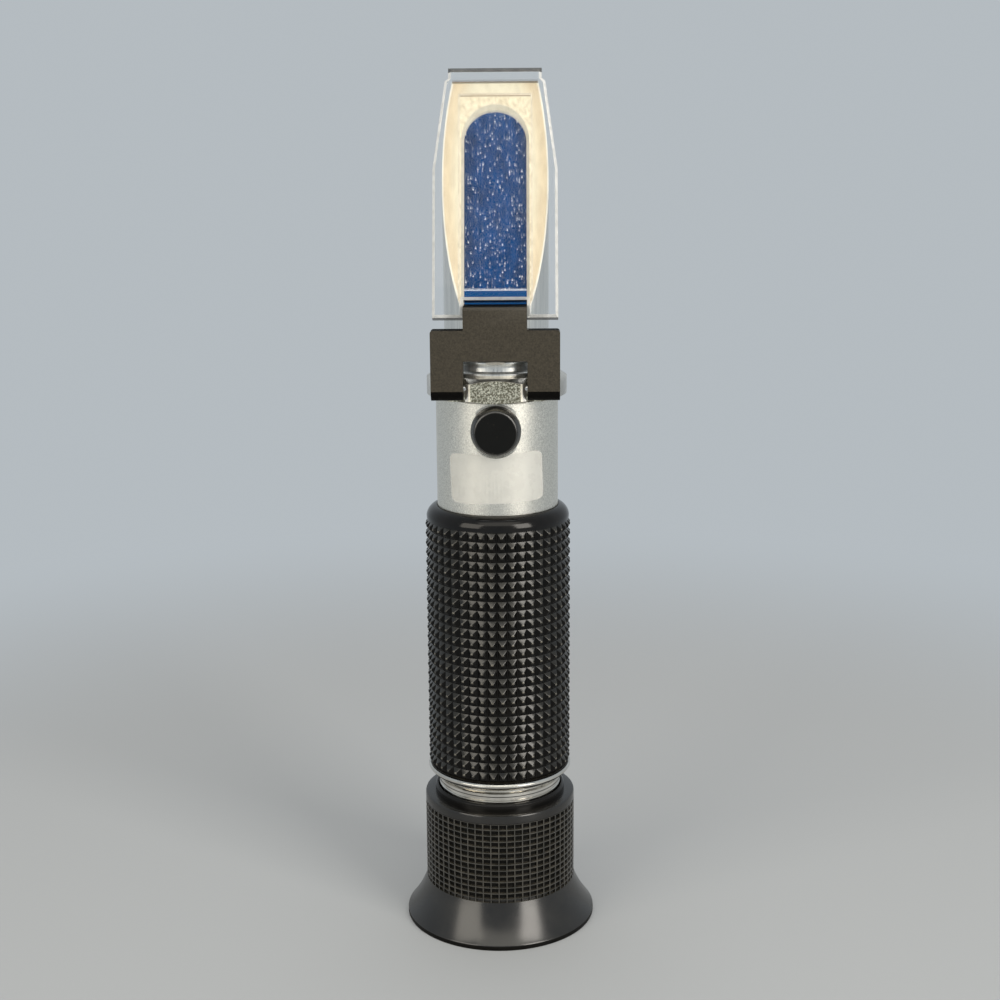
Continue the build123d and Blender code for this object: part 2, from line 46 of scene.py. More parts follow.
def newMaterial(name, sockets):
    material = bpy.data.materials.new(name)
    material.use_nodes = True
    shader = material.node_tree.nodes["Principled BSDF"]
    for socket, value in sockets.items():
        shader.inputs[socket].default_value = value
    return material, shader


def addNode(material, kind, sockets=None, **settings):
    node = material.node_tree.nodes.new(kind)
    for key, value in settings.items():
        setattr(node, key, value)
    for socket, value in (sockets or {}).items():
        node.inputs[socket].default_value = value
    return node


def join(material, source, target):
    material.node_tree.links.new(source, target)


even = (1, 1, 1)  # no stretch
turned = (60, 60, 9000)  # fine lines round the tube, as a lathe leaves them


# The piece's own coordinates, stretched along the three axes
def stretchedCoords(material, stretch):
    coords = addNode(material, "ShaderNodeTexCoord")
    mapping = addNode(material, "ShaderNodeMapping", {"Scale": stretch})
    join(material, coords.outputs["Object"], mapping.inputs["Vector"])
    return mapping.outputs["Vector"]


def noise(material, stretch, scale, detail=4.0, roughness=0.55):
    node = addNode(material, "ShaderNodeTexNoise", {"Scale": scale, "Detail": detail, "Roughness": roughness})
    join(material, stretchedCoords(material, stretch), node.inputs["Vector"])
    return node.outputs["Fac"]


def ramp(material, factor, stops):
    node = addNode(material, "ShaderNodeValToRGB")
    elements = node.color_ramp.elements
    while len(elements) < len(stops):
        elements.new(0.5)
    for element, (place, colour) in zip(elements, stops):
        element.position = place
        element.color = (*colour, 1)
    join(material, factor, node.inputs["Fac"])
    return node.outputs["Color"]


# Takes the factor from one range to another, low to high
def between(material, factor, low, high, fromLow=0.3, fromHigh=0.7):
    node = addNode(material, "ShaderNodeMapRange", {
        "From Min": fromLow, "From Max": fromHigh, "To Min": low, "To Max": high})
    join(material, factor, node.inputs["Value"])
    return node.outputs["Result"]


# Blends two colours or sockets; without a factor the second works on the first in full
def mixed(material, factor, first, second, blend="MIX"):
    mix = addNode(material, "ShaderNodeMix", {"Factor": 1.0}, data_type="RGBA", blend_type=blend)
    if factor:
        join(material, factor, mix.inputs["Factor"])
    for source, socket in ((first, mix.inputs[6]), (second, mix.inputs[7])):  # the two colour sockets
        if isinstance(source, tuple):
            socket.default_value = (*source, 1)
        else:
            join(material, source, socket)
    return mix.outputs[2]  # the colour


def calculated(material, operation, *sources):
    node = addNode(material, "ShaderNodeMath", operation=operation)
    for source, socket in zip(sources, node.inputs):
        join(material, source, socket)
    return node.outputs[0]


def axisPlace(material, axis):
    coords = addNode(material, "ShaderNodeTexCoord")
    apart = addNode(material, "ShaderNodeSeparateXYZ")
    join(material, coords.outputs["Object"], apart.inputs["Vector"])
    return apart.outputs[axis]


# Nought below the first height and one above the second, in millimetres
def heightStep(material, low, high):
    return between(material, axisPlace(material, "Z"), 0.0, 1.0, low * mm, high * mm)


# Relief of a depth in millimetres
def bump(material, shader, height, strength, depth):
    node = addNode(material, "ShaderNodeBump", {"Strength": strength, "Distance": depth * mm})
    join(material, height, node.inputs["Height"])
    join(material, node.outputs["Normal"], shader.inputs["Normal"])


# The plain finishes. Each noise is given as stretch, scale, detail and roughness; the colour, the
# roughness and the relief name the noise that they follow, and then their stops or limits.
plainFinishes = {
    "blastedMetal": {  # body tube
        "shader": {"Metallic": 1.0},
        "noise": {"grain": (even, 4200, 2.0), "patches": (even, 160, 3.0)},
        "colour": ("grain", (0.3, (0.54, 0.525, 0.475)), (0.72, (0.86, 0.84, 0.765))),
        "roughness": ("patches", 0.36, 0.42), "relief": ("grain", 0.5, 0.04)},
    "platedMetal": {  # the bright rings below the grip
        "shader": {"Metallic": 1.0},
        "noise": {"lines": (turned, 1.0, 3.0), "patches": (even, 220, 3.0)},
        "colour": ("patches", (0.35, (0.52, 0.50, 0.46)), (0.65, (0.76, 0.74, 0.69))),
        "roughness": ("patches", 0.10, 0.22), "relief": ("lines", 0.12, 0.01)},
    "turnedMetal": {  # the duller hinge collar
        "shader": {"Metallic": 1.0},
        "noise": {"lines": (turned, 1.0, 3.0), "patches": (even, 220, 3.0)},
        "colour": ("patches", (0.35, (0.52, 0.50, 0.46)), (0.65, (0.76, 0.74, 0.69))),
        "roughness": ("patches", 0.26, 0.38), "relief": ("lines", 0.12, 0.01)},
    "drawnMetal": {  # the round of the prism housing
        "shader": {"Metallic": 1.0},
        "noise": {"streaks": ((2600, 2600, 60), 1.0, 4.0, 0.65)},
        "colour": ("streaks", (0.3, (0.60, 0.60, 0.58)), (0.62, (0.76, 0.76, 0.73))),
        "roughness": ("streaks", 0.27, 0.40), "relief": ("streaks", 0.12, 0.01)},
    "sparkleMetal": {  # the milled flat of the collar
        "shader": {"Metallic": 1.0, "Roughness": 0.3},
        "noise": {"grain": (even, 2900, 2.0, 0.7)},
        "colour": ("grain", (0.42, (0.20, 0.18, 0.12)), (0.66, (0.98, 0.93, 0.75))),
        "relief": ("grain", 0.7, 0.04)},
    "flatEdgeHighlight": {  # painted highlight on the edges of the milled flat
        "shader": {"Metallic": 0.25, "Roughness": 0.4},
        "noise": {"wear": (even, 1500, 3.0)},
        "colour": ("wear", (0.3, (0.72, 0.68, 0.56)), (0.6, (0.94, 0.91, 0.80)))},
    "gripBlack": {
        "shader": {"Specular IOR Level": 0.15},
        "noise": {"patches": (even, 300, 4.0), "specks": (even, 2400, 2.0)},
        "colour": ("patches", (0.42, (0.0022, 0.0020, 0.0018)), (0.8, (0.0060, 0.0052, 0.0042))),
        "roughness": ("specks", 0.20, 0.30), "relief": ("specks", 0.08, 0.01)},
    "gripPaintedLight": {  # painted light: the upper sides of the knurling, painted lighter as light falls on them from above
        "shader": {"Specular IOR Level": 0.5},
        "noise": {"patches": (even, 700, 4.0, 0.65)},
        "colour": ("patches", (0.35, (0.004, 0.0036, 0.003)), (0.7, (0.022, 0.020, 0.014))),
        "roughness": ("patches", 0.20, 0.30), "relief": ("patches", 0.15, 0.02)},
    "gripTipHighlight": {  # painted highlight on the tips of the knurling
        "shader": {"Specular IOR Level": 0.6, "Roughness": 0.3},
        "noise": {"patches": (even, 500, 4.0, 0.65)},
        "colour": ("patches", (0.4, (0.022, 0.020, 0.014)), (0.62, (0.13, 0.12, 0.095)))},
    "gripGloss": {  # the smooth shoulder
        "shader": {"Specular IOR Level": 0.3},
        "noise": {"patches": (even, 260, 4.0)},
        "colour": ("patches", (0.4, (0.003, 0.0026, 0.0023)), (0.8, (0.008, 0.0065, 0.0055))),
        "roughness": ("patches", 0.10, 0.16)},
    "eyecupRubber": {
        "shader": {"Specular IOR Level": 0.62},
        "noise": {"bloom": (even, 130, 5.0, 0.6), "grain": ((160, 160, 5200), 1.0, 3.0)},
        "colour": ("bloom", (0.35, (0.0050, 0.0045, 0.0040)), (0.78, (0.016, 0.0145, 0.012))),
        "roughness": ("bloom", 0.18, 0.26), "relief": ("grain", 0.16, 0.01)},
    "netLineHighlight": {  # painted highlight: the raised lines of the eyecup's net and their upper sides, painted lighter where they catch the light
        "shader": {"Specular IOR Level": 0.9},
        "noise": {"wear": (even, 500, 4.0, 0.6)},
        "colour": ("wear", (0.35, (0.012, 0.011, 0.008)), (0.65, (0.048, 0.043, 0.033))),
        "roughness": ("wear", 0.22, 0.32)},
    "netCellShade": {  # painted shade: the floors of its cells and the rim's upright band, painted dark as they lie in shade
        "shader": {"Specular IOR Level": 0.12},
        "noise": {"grain": (even, 1800, 3.0)},
        "colour": ("grain", (0.4, (0.0014, 0.0013, 0.0010)), (0.8, (0.006, 0.005, 0.0035))),
        "roughness": ("grain", 0.4, 0.55)},
    "capRubber": {
        "shader": {"Specular IOR Level": 0.18},
        "noise": {"specks": (even, 1900, 3.0, 0.7), "cloud": (even, 400)},
        "colour": ("specks", (0.66, (0.0034, 0.0034, 0.0028)), (0.85, (0.05, 0.046, 0.036))),
        "roughness": ("cloud", 0.26, 0.36), "relief": ("specks", 0.1, 0.01)},
    "capRim": {  # the cap's rounded rim, polished by fingers
        "shader": {"Specular IOR Level": 0.75},
        "noise": {"cloud": (even, 500, 3.0)},
        "colour": ("cloud", (0.3, (0.006, 0.006, 0.005)), (0.7, (0.014, 0.013, 0.011))),
        "roughness": ("cloud", 0.24, 0.32)},
    "bracketPlastic": {
        "shader": {"Specular IOR Level": 0.35},
        "noise": {"grain": (even, 3600, 3.0, 0.6)},
        "colour": ("grain", (0.3, (0.022, 0.018, 0.011)), (0.7, (0.048, 0.040, 0.027))),
        "roughness": ("grain", 0.44, 0.58), "relief": ("grain", 0.3, 0.02)},
    "bracketEdgeShade": {  # painted shade: its upward and downward faces, painted dark as they lie in shade
        "shader": {"Specular IOR Level": 0.06},
        "noise": {"grain": (even, 2400, 3.0)},
        "colour": ("grain", (0.3, (0.0016, 0.0014, 0.0012)), (0.8, (0.004, 0.0035, 0.003))),
        "roughness": ("grain", 0.5, 0.6)},
    "clearPlastic": {  # the plate
        "shader": {"Base Color": (0.97, 0.985, 0.985, 1), "Transmission Weight": 1.0, "IOR": 1.49, "Alpha": 0.26},
        "noise": {"smears": ((1, 1, 0.4), 240, 4.0, 0.6)},
        "roughness": ("smears", 0.0, 0.015, 0.55, 0.85)},
    "plasticEdgeHighlight": {  # painted highlight: its narrow eased edges, painted pale where they catch the light
        "shader": {"Transmission Weight": 0.35, "IOR": 1.49, "Roughness": 0.2, "Specular IOR Level": 0.6},
        "noise": {"cloud": (even, 900, 2.0)},
        "colour": ("cloud", (0.35, (0.7544, 0.7544, 0.7298)), (0.6, (0.92, 0.92, 0.89)))},
    "plasticEndShade": {  # painted shade: its lower ends, painted dark as they look when one looks along the plastic
        "shader": {"IOR": 1.49, "Roughness": 0.15, "Specular IOR Level": 0.4, "Alpha": 0.95},
        "noise": {"cloud": (even, 600, 3.0)},
        "colour": ("cloud", (0.35, (0.026, 0.019, 0.012)), (0.7, (0.0572, 0.0418, 0.0264)))},
    "plasticLipShade": {  # painted shade: its upper lip painted grey, as the clear plastic looks there
        "shader": {"IOR": 1.49, "Roughness": 0.15, "Specular IOR Level": 0.4, "Alpha": 0.7},
        "noise": {"cloud": (even, 600, 3.0)},
        "colour": ("cloud", (0.35, (0.050, 0.049, 0.046)), (0.7, (0.11, 0.1078, 0.1012)))},
    "maskEdge": {  # the bevel round the window
        "shader": {"Specular IOR Level": 0.5, "Roughness": 0.4},
        "noise": {"cloud": (even, 700, 3.0)},
        "colour": ("cloud", (0.35, (0.58, 0.54, 0.43)), (0.65, (0.68, 0.64, 0.53))),
        "relief": ("cloud", 0.2, 0.02)},
    "sealWhite": {
        "shader": {"Roughness": 0.3},
        "noise": {"cloud": (even, 900, 3.0)},
        "colour": ("cloud", (0.35, (0.66, 0.58, 0.44)), (0.65, (0.80, 0.72, 0.58))),
        "relief": ("cloud", 0.2, 0.02)},
    "labelFilm": {
        "shader": {"Alpha": 0.32, "Specular IOR Level": 0.6},
        "noise": {"cloud": (even, 500, 4.0)},
        "colour": ("cloud", (0.35, (0.88, 0.88, 0.85)), (0.65, (0.93, 0.93, 0.90))),
        "roughness": ("cloud", 0.22, 0.34), "relief": ("cloud", 0.1, 0.01)},
    "innerBlack": {
        "shader": {"Specular IOR Level": 0.4},
        "noise": {"cloud": (even, 1500, 3.0)},
        "colour": ("cloud", (0.3, (0.012, 0.012, 0.012)), (0.7, (0.03, 0.03, 0.03))),
        "roughness": ("cloud", 0.4, 0.6)},
    "barrelBlack": {
        "shader": {"Specular IOR Level": 0.24},
        "noise": {"lines": ((60, 60, 7000), 1.0, 3.0)},
        "colour": ("lines", (0.3, (0.0030, 0.0028, 0.0025)), (0.8, (0.008, 0.007, 0.006))),
        "roughness": ("lines", 0.16, 0.30), "relief": ("lines", 0.1, 0.01)},
    "lensGlass": {
        "shader": {"Base Color": (0.96, 0.98, 0.97, 1), "Transmission Weight": 1.0, "IOR": 1.52,
                   "Coat Weight": 0.5, "Coat Tint": (0.75, 0.85, 1.0, 1)},
        "noise": {"smears": (even, 300, 3.0)},
        "roughness": ("smears", 0.0, 0.03, 0.5, 0.8)},
    "turnedBrass": {
        "shader": {"Metallic": 1.0},
        "noise": {"lines": ((500, 4000, 500), 1.0, 3.0)},
        "colour": ("lines", (0.3, (0.50, 0.36, 0.14)), (0.7, (0.76, 0.58, 0.27))),
        "roughness": ("lines", 0.18, 0.34), "relief": ("lines", 0.2, 0.01)},
    "steel": {
        "shader": {"Metallic": 1.0},
        "noise": {"lines": ((200, 5000, 5000), 1.0, 3.0)},
        "colour": ("lines", (0.3, (0.55, 0.55, 0.54)), (0.7, (0.74, 0.74, 0.73))),
        "roughness": ("lines", 0.2, 0.32)},
}


def makePlainFinish(name, look):
    material, shader = newMaterial(name, look["shader"])
    fields = {field: noise(material, *settings) for field, settings in look["noise"].items()}
    if "colour" in look:
        field, *stops = look["colour"]
        join(material, ramp(material, fields[field], stops), shader.inputs["Base Color"])
    if "roughness" in look:
        field, *limits = look["roughness"]
        join(material, between(material, fields[field], *limits), shader.inputs["Roughness"])
    if "relief" in look:
        field, strength, depth = look["relief"]
        bump(material, shader, fields[field], strength, depth)
    return material


# The sloping face: painted reflection, white beside the mask and peach outwards, with a painted highlight along
# its bright rim, and a dark upper edge
lappedMetal = {
    "across": [(6.6, (0.82, 0.77, 0.605)), (8.3, (0.80, 0.68, 0.48)), (9.15, (0.79, 0.67, 0.47)),
               (9.35, (0.94, 0.91, 0.82))],
    "cloud": ((900, 900, 40), 1.0, 3.0, 0.5), "shade": [(0.3, (0.86, 0.84, 0.82)), (0.65, (1.0, 1.0, 1.0))],
    "roughness": (0.42, 0.52), "edge": (157.3, 157.4), "edgeColour": (0.07, 0.05, 0.035)}


def makeLappedMetal():
    look = lappedMetal
    material, shader = newMaterial("lappedMetal", {"Metallic": 0.3, "Specular IOR Level": 0.5})
    cloud = noise(material, *look["cloud"])
    reach = addNode(material, "ShaderNodeVectorMath", operation="LENGTH")
    join(material, stretchedCoords(material, (1, 1, 0)), reach.inputs[0])
    first, last = look["across"][0][0], look["across"][-1][0]
    place = between(material, reach.outputs["Value"], 0.0, 1.0, first * mm, last * mm)
    # Painted reflection and highlight across the face, set by distance from the axis
    tone = ramp(material, place, [((r - first) / (last - first), colour) for r, colour in look["across"]])
    shaded = mixed(material, None, tone, ramp(material, cloud, look["shade"]), "MULTIPLY")
    edge = heightStep(material, *look["edge"])
    join(material, mixed(material, edge, shaded, look["edgeColour"]), shader.inputs["Base Color"])
    join(material, between(material, cloud, *look["roughness"]), shader.inputs["Roughness"])
    bump(material, shader, cloud, 0.1, 0.01)
    return material


# The window's glass: points of random brightness on a deep blue that dims towards the sides, and a
# clean strip below a thin white line. Places and heights are in millimetres.
prismGlass = {
    "streaks": ((900, 900, 120), 1.0, 4.0, 0.6),
    "blue": [(0.32, (0.003, 0.030, 0.112)), (0.66, (0.005, 0.060, 0.218))],
    "dim": (0.008, 0.022, 0.065), "dimShare": 0.7, "sides": (3.2, 5.6),
    "pointColour": (0.95, 0.97, 1.0), "pointScale": 2300, "pointStretch": (1, 1, 0.95),
    "pointSize": (0.17, 0.37), "pointChance": (0.46, 0.95),
    "line": (121.38, 121.56), "lineBlend": 0.02, "lineColour": (0.80, 0.84, 0.90), "clean": (0.004, 0.064, 0.215)}


def makePrismGlass():
    look = prismGlass
    material, shader = newMaterial("prismGlass", {"Specular IOR Level": 0.1, "Roughness": 0.2})
    streaks = noise(material, *look["streaks"])
    aside = calculated(material, "ABSOLUTE", axisPlace(material, "X"))
    dimming = between(material, aside, 0.0, look["dimShare"], *(side * mm for side in look["sides"]))
    ground = mixed(material, dimming, ramp(material, streaks, look["blue"]), look["dim"])
    points = addNode(material, "ShaderNodeTexVoronoi", {"Scale": look["pointScale"], "Randomness": 1.0})
    join(material, stretchedCoords(material, look["pointStretch"]), points.inputs["Vector"])
    size = between(material, points.outputs["Distance"], 1.0, 0.0, *look["pointSize"])
    random = addNode(material, "ShaderNodeSeparateColor")
    join(material, points.outputs["Color"], random.inputs[0])
    chance = between(material, random.outputs[0], 0.0, 1.0, *look["pointChance"])
    speckled = mixed(material, calculated(material, "MULTIPLY", size, chance), ground, look["pointColour"])
    (low, high), blend = look["line"], look["lineBlend"]
    below = mixed(material, heightStep(material, low - blend, low), look["clean"], look["lineColour"])
    colour = mixed(material, heightStep(material, high, high + blend), below, speckled)
    join(material, colour, shader.inputs["Base Color"])
    bump(material, shader, streaks, 0.2, 0.02)
    return material


# The mask's wrinkled cream, with a thin brown line near its top: a painted shadow along the gap at its upper edge
maskCream = {
    "wrinkle": (even, 1500, 5.0, 0.6), "cream": [(0.36, (0.66, 0.57, 0.40)), (0.62, (0.89, 0.81, 0.62))],
    "line": (155.02, 155.06), "lineColour": (0.28, 0.20, 0.12)}


def makeMaskCream():
    look = maskCream
    material, shader = newMaterial("maskCream", {"Specular IOR Level": 0.5, "Roughness": 0.42, "Metallic": 0.15})
    wrinkle = noise(material, *look["wrinkle"])
    cream = ramp(material, wrinkle, look["cream"])
    # Painted shadow: the thin brown line near the top
    line = heightStep(material, *look["line"])
    join(material, mixed(material, line, cream, look["lineColour"]), shader.inputs["Base Color"])
    bump(material, shader, wrinkle, 0.9, 0.12)
    return material


finishes = {name: makePlainFinish(name, look) for name, look in plainFinishes.items()}
finishes.update(lappedMetal=makeLappedMetal(), prismGlass=makePrismGlass(), maskCream=makeMaskCream())
print("materials made:", len(finishes))


# Mesh helpers

def newPiece(name, mesh):
    piece = bpy.data.objects.new(name, mesh)
    bpy.context.scene.collection.objects.link(piece)
    return piece


def meshOf(shape, name):
    mesh = bpy.data.meshes.new(name)
    shape.to_mesh(mesh)
    shape.free()
    return mesh


def softenShading(mesh, angle):
    mesh.shade_smooth()
    mesh.set_sharp_from_angle(angle=radians(angle))


# Spins a closed outline of radius and height, in millimetres, about the tube's axis
def turnedMesh(name, profile, segments):
    shape = bmesh.new()
    rings = []
    for step in range(segments):
        angle = 2 * pi * step / segments
        across, along = sin(angle) * mm, -cos(angle) * mm
        rings.append([shape.verts.new((r * across, r * along, z * mm)) for r, z in profile])
    for step, ring in enumerate(rings):
        after = rings[(step + 1) % segments]
        for k in range(len(profile)):
            n = (k + 1) % len(profile)
            shape.faces.new((ring[k], after[k], after[n], ring[n]))
    bmesh.ops.recalc_face_normals(shape, faces=shape.faces)
    return meshOf(shape, name)


# Points of an arc, its angles in degrees
def arcPoints(centre, radius, start, end, steps):
    angles = [radians(start + (end - start) * k / steps) for k in range(steps + 1)]
    return [(centre[0] + radius * cos(angle), centre[1] + radius * sin(angle)) for angle in angles]


# Points of the circle through three points, from the first to the last
def curveThrough(start, middle, end, steps):
    a, b = middle - start, end - middle
    first, second = (start + middle) / 2, (middle + end) / 2
    reach = (second - first).dot(b) / (a.x * b.y - a.y * b.x)
    centre = first + Vector((-a.y, a.x)) * reach
    radius = (start - centre).length
    angles = [atan2(point.y - centre.y, point.x - centre.x) for point in (start, end)]
    turn = (angles[1] - angles[0] + pi) % (2 * pi) - pi
    return [(centre.x + radius * cos(angles[0] + turn * k / steps),
             centre.y + radius * sin(angles[0] + turn * k / steps)) for k in range(steps + 1)]


# Points closer than the distance, in millimetres, become one, and so do faces within the flat angle
merging = {"distance": 0.0005, "flat": 0.6, "edgeSteps": 2}


# A copy of a CAD node's mesh, merged, with smooth shading and its sharp edges eased
def mergedCopy(node, name, sharpAngle, edgeRound):
    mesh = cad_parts[node].data.copy()
    mesh.name = name
    shape = bmesh.new()
    shape.from_mesh(mesh)
    bmesh.ops.remove_doubles(shape, verts=shape.verts, dist=merging["distance"] * mm)
    bmesh.ops.dissolve_limit(shape, angle_limit=radians(merging["flat"]), verts=shape.verts, edges=shape.edges)
    shape.to_mesh(mesh)
    shape.free()
    piece = newPiece(name, mesh)
    softenShading(piece.data, sharpAngle)
    if edgeRound:
        rounding = piece.modifiers.new("edgeRound", "BEVEL")
        rounding.width = edgeRound * mm
        rounding.segments = merging["edgeSteps"]
        rounding.limit_method = "ANGLE"
        rounding.angle_limit = radians(sharpAngle)
        rounding.harden_normals = True
        bakeModifiers(piece)
    return piece


def bakeModifiers(piece):
    graph = bpy.context.evaluated_depsgraph_get()
    mesh = bpy.data.meshes.new_from_object(piece.evaluated_get(graph))
    piece.modifiers.clear()
    piece.data = mesh


# Gives a finished piece its body, and lets it stand for its CAD node
def settle(piece, node, body):
    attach(piece, body)
    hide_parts(node)
    print("piece:", piece.name, len(piece.data.polygons), "faces")


# A face is part of a turned wall where it is upright and all its corners are equally far from the
# axis; lengths in millimetres
turnedWall = {"lean": 0.02, "spread": 0.01, "leastRadius": 5}


# Turned walls get the true normals of a round, whatever way their faces are cut
def roundShading(piece):
    mesh = piece.data
    normals = [corner.vector.copy() for corner in mesh.corner_normals]
    for face in mesh.polygons:
        reaches = [mesh.vertices[k].co.xy.length / mm for k in face.vertices]
        nearest, farthest = min(reaches), max(reaches)
        level = farthest - nearest < turnedWall["spread"] and nearest > turnedWall["leastRadius"]
        if level and abs(face.normal.z) < turnedWall["lean"]:
            side = 1 if face.normal.xy.dot(face.center.xy) > 0 else -1
            for corner in face.loop_indices:
                place = mesh.vertices[mesh.loops[corner].vertex_index].co
                normals[corner] = Vector((place.x, place.y, 0)).normalized() * side
    mesh.normals_split_custom_set(normals)


# Cuts the faces along planes, each given by a direction and how many millimetres along it the plane lies
def cutFaces(piece, cuts):
    shape = bmesh.new()
    shape.from_mesh(piece.data)
    for direction, far in cuts:
        bmesh.ops.bisect_plane(shape, geom=shape.verts[:] + shape.edges[:] + shape.faces[:],
                               plane_co=Vector(direction) * far * mm, plane_no=direction, dist=0.001 * mm)
    shape.to_mesh(piece.data)
    shape.free()


# Gives the faces that a test picks out a finish of their own
def paintFaces(piece, finish, picks):
    piece.data.materials.append(finishes[finish])
    index = len(piece.data.materials) - 1
    for face in piece.data.polygons:
        if picks(face):
            face.material_index = index


# Geometry Nodes tree that wraps a grid of tiles round the tube's axis

def makeWrapTree():
    tree = bpy.data.node_groups.new("wrapTiles", "GeometryNodeTree")
    sockets = tree.interface
    sockets.new_socket("Geometry", in_out="INPUT", socket_type="NodeSocketGeometry")
    for name, kind in (("Tile", "Object"), ("Columns", "Int"), ("Rows", "Int"), ("Radius", "Float"),
                       ("Low", "Float"), ("Row Height", "Float"), ("Depth", "Float"), ("Finish", "Material")):
        sockets.new_socket(name, in_out="INPUT", socket_type="NodeSocket" + kind)
    sockets.new_socket("Geometry", in_out="OUTPUT", socket_type="NodeSocketGeometry")
    nodes, links = tree.nodes, tree.links
    given = nodes.new("NodeGroupInput").outputs

    def add(kind, feeds):
        node = nodes.new(kind)
        for socket, source in feeds.items():
            links.new(source, node.inputs[socket])
        return node.outputs

    def value(operation, *sources):
        node = nodes.new("ShaderNodeMath")
        node.operation = operation
        for socket, source in zip(node.inputs, sources):
            if isinstance(source, (int, float)):
                socket.default_value = source
            else:
                links.new(source, socket)
        return node.outputs[0]

    # A flat grid of points: its width is the angle round the axis, in radians
    columnAngle = value("DIVIDE", 2 * pi, given["Columns"])
    gridHeight = value("MULTIPLY", value("SUBTRACT", given["Rows"], 1), given["Row Height"])
    grid = add("GeometryNodeMeshGrid", {
        "Size X": value("SUBTRACT", 2 * pi, columnAngle), "Size Y": gridHeight,
        "Vertices X": given["Columns"], "Vertices Y": given["Rows"]})
    tile = add("GeometryNodeObjectInfo", {"Object": given["Tile"]})
    tileScale = add("ShaderNodeCombineXYZ", {"X": columnAngle, "Y": given["Row Height"], "Z": given["Depth"]})
    spread = add("GeometryNodeInstanceOnPoints", {
        "Points": grid["Mesh"], "Instance": tile["Geometry"], "Scale": tileScale["Vector"]})
    flat = add("GeometryNodeRealizeInstances", {"Geometry": spread["Instances"]})

    # The flat tiles are bent round the axis and welded
    parts = add("ShaderNodeSeparateXYZ", {"Vector": add("GeometryNodeInputPosition", {})["Position"]})
    reach = value("ADD", given["Radius"], parts["Z"])
    across = value("MULTIPLY", reach, value("SINE", parts["X"]))
    along = value("MULTIPLY", value("MULTIPLY", reach, value("COSINE", parts["X"])), -1)
    half = value("MULTIPLY", value("MULTIPLY", given["Rows"], given["Row Height"]), 0.5)
    height = value("ADD", value("ADD", parts["Y"], half), given["Low"])
    wrapped = add("ShaderNodeCombineXYZ", {"X": across, "Y": along, "Z": height})
    bend = add("GeometryNodeSetPosition", {"Geometry": flat["Geometry"], "Position": wrapped["Vector"]})
    weld = nodes.new("GeometryNodeMergeByDistance")
    weld.inputs["Distance"].default_value = 0.002 * mm
    links.new(bend["Geometry"], weld.inputs["Geometry"])

    # They join the piece that carries them
    both = nodes.new("GeometryNodeJoinGeometry")
    for source in (given["Geometry"], weld.outputs["Geometry"]):
        links.new(source, both.inputs["Geometry"])
    plain = add("GeometryNodeRealizeInstances", {"Geometry": both.outputs["Geometry"]})
    painted = add("GeometryNodeSetMaterial", {"Geometry": plain["Geometry"], "Material": given["Finish"]})
    add("NodeGroupOutput", {"Geometry": painted["Geometry"]})
    return tree


wrapTree = makeWrapTree()


# Adds wrapped tiles to a piece, bakes the result and clears the tile; lengths in millimetres
def wrapTiles(piece, tile, columns, rows, radius, low, high, depth, finish):
    values = {"Tile": tile, "Columns": columns, "Rows": rows, "Radius": radius * mm, "Low": low * mm,
              "Row Height": (high - low) / rows * mm, "Depth": depth * mm, "Finish": finishes[finish]}
    wrap = piece.modifiers.new("wrapTiles", "NODES")
    wrap.node_group = wrapTree
    for item in wrapTree.interface.items_tree:
        if item.in_out == "INPUT" and item.name in values:
            wrap[item.identifier] = values[item.name]
    bakeModifiers(piece)
    bpy.data.objects.remove(tile)


# A square tile of nested rings, from the edge to the middle: half width across and up, height, corner cut
def ringTile(name, rings):
    shape = bmesh.new()
    loops = []
    for across, up, height, cut in rings:
        corners = []
        for sx, sy in ((-1, -1), (1, -1), (1, 1), (-1, 1)):
            for dx, dy in ((0, -1), (-1, 0)) if sx * sy > 0 else ((-1, 0), (0, -1)):
                corners.append(shape.verts.new((sx * (across + dx * cut), sy * (up + dy * cut), height)))
        loops.append(corners)
    for outer, inner in zip(loops, loops[1:]):
        for k in range(8):
            n = (k + 1) % 8
            shape.faces.new((outer[k], outer[n], inner[n], inner[k]))
    shape.faces.new(loops[-1])
    bmesh.ops.remove_doubles(shape, verts=shape.verts, dist=1e-5)
    bmesh.ops.dissolve_degenerate(shape, edges=shape.edges, dist=1e-6)
    bmesh.ops.recalc_face_normals(shape, faces=shape.faces)
    if sum(face.normal.z for face in shape.faces) < 0:
        bmesh.ops.reverse_faces(shape, faces=shape.faces)
    return newPiece(name, meshOf(shape, name))


# A tile with the same section from its foot to its head: place across, height
def ribTile(name, section):
    shape = bmesh.new()
    feet = [shape.verts.new((across, -0.5, height)) for across, height in section]
    heads = [shape.verts.new((across, 0.5, height)) for across, height in section]
    for k in range(len(section) - 1):
        shape.faces.new((feet[k], feet[k + 1], heads[k + 1], heads[k]))
    return newPiece(name, meshOf(shape, name))


# Grip sleeve: square knurling between a plain foot and a smooth rounded shoulder. Lengths are in
# millimetres; a tile is one wide and one high, and its heights are shares of the depth.
gripSleeve = {
    "bore": 11.2, "tip": 13.5, "depth": 0.62, "columns": 44, "rows": 26, "foot": 31.0, "low": 31.35,
    "high": 78.8, "shoulder": 13.3, "shoulderRound": 2.35, "shoulderTurn": (8, 80), "top": 81.6,
    "tile": [(0.5, 0.5, 0.0, 0.0), (0.435, 0.465, 0.03, 0.02), (0.13, 0.12, 0.9, 0.05), (0.07, 0.06, 1.0, 0.03)],
    "segments": 176, "sharpAngle": 30, "tipBand": 0.06, "litLean": 0.3}


